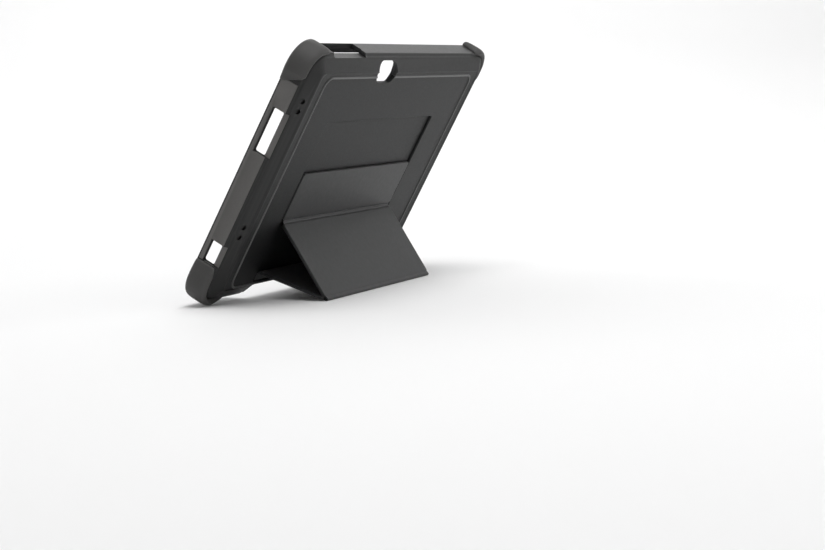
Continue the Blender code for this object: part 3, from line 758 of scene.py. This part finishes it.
def shock_liner(material):
    """Saw-tooth facets that fan out from the floor and step deeper at the walls."""
    inner = floor_outline()
    outer = even_points(inset_outline(5.2 * MM, 9 * MM), TEETH)
    parts = [i / TOOTH_STEPS for i in range(TOOTH_STEPS + 1)]
    back = BACK_INNER - 0.25 * MM
    mesh = bmesh.new()
    rays = []
    for k in range(TEETH):
        points = [liner_ray(inner[k], outer[k], part) for part in parts]
        low = [mesh.verts.new((p.x, liner_surface(t, False), p.y)) for p, t in zip(points, parts)]
        high = [mesh.verts.new((p.x, liner_surface(t, True), p.y)) if t > TOOTH_START else v
                for p, t, v in zip(points, parts, low)]
        base = [mesh.verts.new((p.x, back, p.y)) for p in (points[0], inner[k].lerp(outer[k], 0.93))]
        rays.append((low, high, base))
    for k, (low, high, base) in enumerate(rays):
        next_low, next_high, next_base = rays[(k + 1) % TEETH]
        for i in range(TOOTH_STEPS):
            mesh.faces.new((low[i], low[i + 1], next_high[i + 1], next_high[i]))
            riser = [low[i], low[i + 1], high[i + 1]]
            if high[i] is not low[i]:
                riser.append(high[i])
            if high[i + 1] is not low[i + 1]:
                mesh.faces.new(riser)
        mesh.faces.new((low[0], next_low[0], next_base[0], base[0]))
        mesh.faces.new((base[0], next_base[0], next_base[1], base[1]))
        rim = (low[-1], base[1], next_base[1], next_low[-1], next_high[-1])
        mesh.faces.new(rim)
    bmesh.ops.triangulate(mesh, faces=mesh.faces)
    obj = to_object("faceted_liner", mesh)
    dock = block((DOCK_X[0] - 3 * MM, DOCK_X[1] + 3 * MM), (0.0, DEPTH + 5 * MM),
                 (-10 * MM, PANEL_LOW.z + 0.5 * MM))
    carve(obj, [dock, camera_cutter(LINER_SETBACK)])
    return finish(obj, material, ["shock_liner"], sharp=14, flat=False)


def floor_plate(material):
    """Smooth middle of the floor, with a shallow step round its edge."""
    loops = [(floor_outline(0.993), FLOOR_Y + 0.8 * MM), (floor_outline(0.993), FLOOR_Y + 0.1 * MM),
             (floor_outline(0.99), FLOOR_Y), (floor_outline(0.9), FLOOR_Y),
             (floor_outline(0.893), FLOOR_Y + 0.35 * MM)]
    loops = [([tuple(p) for p in points], y) for points, y in loops]
    obj = to_object("floor_plate", loft(loops))
    return finish(obj, material, ["floor_panel"])


def band_outline(offset):
    x = BAND_RING[0] + offset
    z = BAND_RING[1] + offset
    return rounded_rectangle((-x, x), (MIDDLE_Z - z, MIDDLE_Z + z), BAND_CORNER + offset)


def satin_strips(material):
    """The light band: a closed strip, and an arm from each pad to its corner."""
    half = BAND_WIDTH / 2
    low, high = FLOOR_Y - 0.55 * MM, FLOOR_Y - 0.05 * MM
    section = ((half, high), (half, low + 0.15 * MM), (half - 0.2 * MM, low),
               (-half + 0.2 * MM, low), (-half, low + 0.15 * MM), (-half, high))
    ring = loft([(band_outline(offset), y) for offset, y in section], ring=True)
    obj = to_object("satin_ring", ring)
    finish(obj, material, ["grip_band"])
    for level, level_name in ((-1, "bottom"), (1, "top")):
        for side, side_name in ((-1, "left"), (1, "right")):
            arm = to_object("satin_arm_%s_%s" % (level_name, side_name), band_arm(side, level))
            finish(arm, material, [])


def band_arm(side, level):
    """A strip that rises over the facets and narrows to a slanted end."""
    start = Vector((PAD_AT[0], PAD_AT[1]))
    end = Vector((ARM_END[0], ARM_END[1]))
    across = (end - start).orthogonal().normalized()
    mesh = bmesh.new()
    rows = []
    for step in range(9):
        part = step / 8
        middle = start.lerp(end, part)
        width = 3.2 * MM - 0.9 * MM * part
        top = FLOOR_Y - (0.55 + 0.75 * part) * MM
        row = []
        for sign, y in ((-1, top + 0.7 * MM), (-1, top), (1, top), (1, top + 0.7 * MM)):
            skew = (end - start).normalized() * (2.5 * MM * sign * part)
            p = middle + across * width * sign + skew
            row.append(mesh.verts.new((side * p.x, y, MIDDLE_Z + level * p.y)))
        rows.append(row)
    for first, second in zip(rows, rows[1:]):
        for i in range(4):
            j = (i + 1) % 4
            mesh.faces.new((first[i], first[j], second[j], second[i]))
    mesh.faces.new(rows[0])
    mesh.faces.new(rows[-1])
    return mesh


def pad_outline(scale):
    """A triangle with its three points cut off and slightly hollow sides."""
    reach, blunt = 13.5 * MM, 4.6 * MM
    outward = Vector((ARM_END[0] - PAD_AT[0], ARM_END[1] - PAD_AT[1])).normalized()
    points = []
    for arm in (Vector((-1, 0)), Vector((0, -1)), outward):
        across = Vector((-arm.y, arm.x)) * blunt
        tip = arm * reach
        points.extend((tip - across, tip + across))
    result = []
    for i, corner in enumerate(points):
        before, after = points[i - 1], points[(i + 1) % len(points)]
        result.extend(fillet(before, corner, after, 1.6 * MM, steps=3))
        if i % 2:
            middle = (corner + after) / 2
            result.append(middle * 0.95)
    return [p * scale for p in result]


def shock_pads(material):
    low, high = case_box("shock_pad_top_left")
    top, bottom = low.y, high.y + 0.9 * MM
    rings = ((1.0, bottom), (1.0, top + 0.9 * MM), (0.975, top + 0.35 * MM), (0.92, top),
             (0.72, top), (0.66, top + 0.25 * MM), (0.60, top + 0.25 * MM), (0.54, top))
    for level, level_name in ((1, "top"), (-1, "bottom")):
        for side, side_name in ((-1, "left"), (1, "right")):
            loops = []
            for scale, y in rings:
                points = [(side * (PAD_AT[0] + p.x), MIDDLE_Z + level * (PAD_AT[1] + p.y))
                          for p in pad_outline(scale)]
                loops.append((points, y))
            name = "%s_%s" % (level_name, side_name)
            obj = to_object("blue_pad_" + name, loft(loops))
            finish(obj, material, ["shock_pad_" + name], sharp=50)


# ------------------------------------------------------------ stand

THICK = 2.0 * MM                # a panel's skins and board together
PANEL_ROUND = 2.2 * MM          # radius of the panels' corners
SEAM = 3 * MM                   # distance of the pressed seam line from the edge
HINGE_GAP = 1.0 * MM            # from each fold's line to the panel beside it
FOOT_GAP = 1.6 * MM
FOLD_GAP = 1.35 * MM
FLAP_SINK = 0.15 * MM           # the flap lies this much below its fold's line
STRIP_INSET = 1.2 * MM          # the fold strips end this far inside the panels' edges
STRIP_LAP = 3.2 * MM            # how far the strips reach into the panels


def panel_frame(pivot, towards):
    """Local X along the case, local Z from the pivot along the panel."""
    along = (towards - pivot).normalized()
    normal = along.cross(Vector((1, 0, 0)))
    turn = Matrix((Vector((1, 0, 0)), normal, along)).transposed().to_4x4()
    return Matrix.Translation(pivot) @ turn


def welded_panel(start, end, middle=0.0):
    """A stiff panel between two skins, with round edges and a pressed seam line."""
    half = STAND_WIDTH / 2
    section = ((0.0, 0.5), (0.1 * MM, 0.76), (0.3 * MM, 0.93), (0.65 * MM, 1.0),
               (SEAM - 0.3 * MM, 1.0), (SEAM, 0.95), (SEAM + 0.3 * MM, 1.0))
    loops = []
    for inset, fullness in section:
        outline = rounded_rectangle((-half + inset, half - inset), (start + inset, end - inset),
                                    max(PANEL_ROUND - inset, 0.6 * MM), steps=5)
        loops.append((outline, -fullness * THICK / 2))
    mirrored = [(outline, -y) for outline, y in loops]
    return loft([(outline, middle + y) for outline, y in loops[::-1] + mirrored])


def ribbon(points, thickness):
    """A sheet across the stand that follows a profile of (depth, height) points."""
    centre = [Vector(p) for p in points]
    half = STAND_WIDTH / 2 - STRIP_INSET
    outer, inner = [], []
    for i, p in enumerate(centre):
        along = centre[min(i + 1, len(centre) - 1)] - centre[max(i - 1, 0)]
        normal = Vector((-along.y, along.x)).normalized() * thickness / 2
        outer.append(p + normal)
        inner.append(p - normal)
    outline = outer + inner[::-1]
    return turned_plate([tuple(p) for p in outline], (STAND_X - half, STAND_X + half))


def flat(point):
    """The (depth, height) part of a point in the case's frame."""
    return Vector((point.y, point.z))


def stand(material):
    """Base, leg and flap panels, and the creased strips between them."""
    case_up = FOLD + Vector((0, 0, 1))
    leg_top = Vector((STAND_X, FOLD.y, FOLD.z))
    base_length = (FOOT - HINGE).length
    base_place = panel_frame(HINGE, FOOT)
    leg_length = (FOLD - FOOT).length
    leg_skew = math.atan2(THICK / 2, math.sqrt(leg_length ** 2 - (THICK / 2) ** 2))
    along_leg = Matrix.Rotation(leg_skew, 3, "X") @ (leg_top - FOOT)
    leg_place = panel_frame(FOOT, FOOT + along_leg)
    flap_place = panel_frame(FOLD, case_up)

    base = to_object("base_panel", welded_panel(HINGE_GAP, base_length - FOOT_GAP))
    finish(base, material, ["base_outer_skin", "base_inner_skin"], "base",
           place=base_place)
    leg = to_object("leg_panel", welded_panel(FOOT_GAP, leg_length - FOLD_GAP))
    finish(leg, material, ["leg_outer_skin", "leg_inner_skin"], "leg",
           place=leg_place)
    flap = to_object("flap_panel",
                     welded_panel(FOLD_GAP, FLAP_END - FOLD.z, -THICK / 2 - FLAP_SINK))
    finish(flap, material, ["flap_outer_skin", "flap_inner_skin"], "flap",
           place=flap_place)
    stand_strips(material, base_place, leg_place)


def across_and_along(place):
    """A panel's outward and lengthwise directions as (depth, height) vectors."""
    turn = place.to_3x3()
    return flat(turn @ Vector((0, 1, 0))), flat(turn @ Vector((0, 0, 1)))


def stand_strips(material, base_place, leg_place):
    """The strips at the stand's three folds, each shaped between the two pieces it joins."""
    base_out, base_along = across_and_along(base_place)
    leg_out, leg_along = across_and_along(leg_place)
    foot_strip(material, base_out, base_along, leg_out, leg_along)
    flap_strip(material, leg_out, leg_along)
    case_strip(material, base_along)


def foot_strip(material, base_out, base_along, leg_out, leg_along):
    """A rounded strip where the stand meets the table."""
    foot = flat(FOOT)
    radius, lap, sunk = 0.85 * MM, 2.6 * MM, 0.45 * MM
    first = math.atan2(base_out.y, base_out.x)
    last = math.atan2(leg_out.y, leg_out.x)
    points = [foot - base_along * lap + base_out * sunk]
    for step in range(13):
        angle = first + (last - first) * step / 12
        points.append(foot + Vector((math.cos(angle), math.sin(angle))) * radius)
    points.append(foot + leg_along * lap + leg_out * sunk)
    strip = to_object("foot_fold", ribbon(points, 0.6 * MM))
    finish(strip, material, ["foot_bead"], None, flat=False)
    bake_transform(strip)


def flap_strip(material, leg_out, leg_along):
    """A strip almost flush with the panels, between two pressed creases."""
    fold = flat(FOLD)
    up = Vector((0, 1))
    out = Vector((1, 0))
    sunk, flush, edge = 1.0 * MM, 0.3 * MM, 0.95 * MM
    points = [fold - leg_along * STRIP_LAP - leg_out * sunk,
              fold - leg_along * FOLD_GAP - leg_out * sunk,
              fold - leg_along * edge - leg_out * (flush + 0.1 * MM),
              fold - leg_along * 0.6 * edge - leg_out * flush,
              fold - out * flush,
              fold + up * 0.6 * edge - out * (flush + 0.05 * MM),
              fold + up * edge - out * (flush + FLAP_SINK),
              fold + up * FOLD_GAP - out * (sunk + FLAP_SINK),
              fold + up * STRIP_LAP - out * (sunk + FLAP_SINK)]
    strip = to_object("flap_fold", ribbon(points, 0.5 * MM))
    finish(strip, material, ["fold_bead"], None, flat=False)
    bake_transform(strip)


def case_strip(material, base_along):
    """The strip from the hem in the recess to the base panel."""
    hinge = flat(HINGE)
    hem_top = Vector((19.3 * MM, 16.8 * MM))
    points = [hem_top, hem_top + Vector((0.1 * MM, 1.8 * MM)),
              hinge - Vector((0.1 * MM, 0.6 * MM)), hinge + Vector((0.15 * MM, 0.0)),
              hinge + base_along * 0.9 * MM, hinge + base_along * 3 * MM]
    strip = to_object("case_fold", ribbon(points, 0.5 * MM))
    finish(strip, material, ["base_hinge_bead"], None, flat=False)
    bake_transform(strip)


def stand_anchor(material):
    """The fixed hem in the recess, with the finger tongue below the back."""
    low, high = case_box("stand_anchor")
    bottom = RECESS_Z[0] + 0.3 * MM
    left, right = low.x, high.x
    root, tip = TONGUE_HALF
    tip_middle = STAND_X + TONGUE_MIDDLE
    corners = [(left, bottom), (STAND_X - root, bottom), (STAND_X - root, TONGUE_BEND),
               (tip_middle - tip, low.z), (tip_middle + tip, low.z), (STAND_X + root, TONGUE_BEND),
               (STAND_X + root, bottom), (right, bottom), (right, high.z), (left, high.z)]
    outline = []
    for i, corner in enumerate(corners):
        following = corners[(i + 1) % len(corners)]
        rounded = fillet(corners[i - 1], corner, following, 1.2 * MM, steps=3)
        outline.extend(tuple(p) for p in rounded)
    obj = to_object("anchor_tongue", loft([(outline, low.y), (outline, high.y)]))
    soften(obj, 0.3 * MM)
    return finish(obj, material, ["stand_anchor"])


def dress_hidden_nodes(metal, board):
    """Materials for the frame's own pieces that stay, inside the panels and the back."""
    for name, obj in frame["nodes"].items():
        if "magnet" in name or name == "keeper_plate":
            obj.data.materials.clear()
            obj.data.materials.append(metal)
        elif name.endswith("_board"):
            obj.data.materials.clear()
            obj.data.materials.append(board)


# ------------------------------------------------------------ stage

CAMERA_PLACE = (1.1909, 0.5815, 0.1456)
CAMERA_TURN = (84.014, 1.085, 113.983)    # degrees: tilt up from straight down, roll, heading
LENS = 83.76                    # mm on a 36 mm wide sensor


def camera():
    data = bpy.data.cameras.new("camera")
    data.lens = LENS
    data.sensor_width = 36
    obj = bpy.data.objects.new("camera", data)
    obj.location = CAMERA_PLACE
    obj.rotation_euler = [math.radians(angle) for angle in CAMERA_TURN]
    bpy.context.scene.collection.objects.link(obj)
    bpy.context.scene.camera = obj


def studio_floor():
    """A pale round floor that curves up into a wall all round."""
    radius, curve, wall = 2.6, 1.2, 1.2
    profile = [(0.0, 0.0), (0.6, 0.0), (radius - curve, 0.0)]
    for step in range(1, 13):
        angle = math.radians(90 * step / 12)
        profile.append((radius - curve + curve * math.sin(angle), curve * (1 - math.cos(angle))))
    profile.append((radius, curve + wall))
    mesh = bmesh.new()
    verts = [mesh.verts.new((r, 0.0, z)) for r, z in profile]
    edges = [mesh.edges.new(pair) for pair in zip(verts, verts[1:])]
    bmesh.ops.spin(mesh, geom=verts + edges, cent=(0, 0, 0), axis=(0, 0, 1), angle=2 * math.pi,
                   steps=96, use_merge=True)
    obj = to_object("studio_floor", mesh)
    obj.data.shade_smooth()
    look = Look("studio_paint", 0.9, 0.2)
    shade = look.noise(0.8, detail=1)
    look.color(look.ramp(shade, 0.3, 0.7, (grey(0.85), grey(0.87))))
    obj.data.materials.append(look.material)


def soft_light(name, place, target, size, power):
    data = bpy.data.lights.new(name, "AREA")
    data.shape = "RECTANGLE"
    data.size, data.size_y = size
    data.energy = power
    obj = bpy.data.objects.new(name, data)
    obj.location = place
    obj.rotation_euler = (Vector(target) - Vector(place)).to_track_quat("-Z", "Y").to_euler()
    bpy.context.scene.collection.objects.link(obj)


SUBJECT = (0, 0, 0.1)
BACKDROP = (-1.9, -0.9, 0)      # the floor behind the object, as the camera sees it
LIGHTS = (                      # name, place, target, size and power
    ("overhead", (0.25, 0.35, 1.7), SUBJECT, (1.3, 1.3), 24),
    ("key", (0.2, 1.9, 1.0), SUBJECT, (1.1, 0.9), 1),
    ("rim", (-1.6, -0.1, 1.0), SUBJECT, (1.4, 0.8), 3.2),
    ("front_fill", (-0.4, -1.7, 0.9), SUBJECT, (1.2, 0.9), 5),
    ("rear_fill", (-1.3, 1.3, 0.7), SUBJECT, (0.9, 0.9), 4),
    ("backdrop", (-1.9, -0.9, 1.5), BACKDROP, (1.6, 1.6), 17),
)


def lights():
    for light in LIGHTS:
        soft_light(*light)
    world = bpy.data.worlds.new("studio")
    world.use_nodes = True
    background = world.node_tree.nodes["Background"]
    background.inputs["Color"].default_value = (1.0, 1.0, 1.0, 1.0)
    background.inputs["Strength"].default_value = 0.16
    bpy.context.scene.world = world
    bpy.context.scene.view_settings.view_transform = "Standard"


def build():
    rubber = moulded_rubber("shell_rubber", 0.017, specular=0.22)
    grip = moulded_rubber("grip_rubber", 0.073, warm=0.03, roughness=0.65)
    # The bumpers are moulded in the shell's rubber; their lighter shade is a painted highlight on their rounded
    # roll
    bumper = moulded_rubber("bumper_rubber", 0.05, warm=0.02, roughness=0.6)
    liner = moulded_rubber("liner_rubber", 0.024, roughness=0.48, specular=0.4)
    skin = coated_sheet()
    soft_shell(rubber)
    side_grips(grip)
    back_cover(back_plastic())
    # The border line's shade, about three times the shell's, is a painted highlight along the back's raised rib
    border_line(moulded_rubber("border_line", 0.055, roughness=0.42, specular=0.45))
    for (level, side), arms in BUMPERS.items():
        corner_bumper(level, side, arms, bumper)
    shock_liner(liner)
    floor_plate(liner)
    satin_strips(satin_band())
    shock_pads(pad_rubber())
    stand_anchor(skin)
    stand(skin)
    dress_hidden_nodes(hidden_metal(), fibre_board())


camera()
studio_floor()
lights()
build()
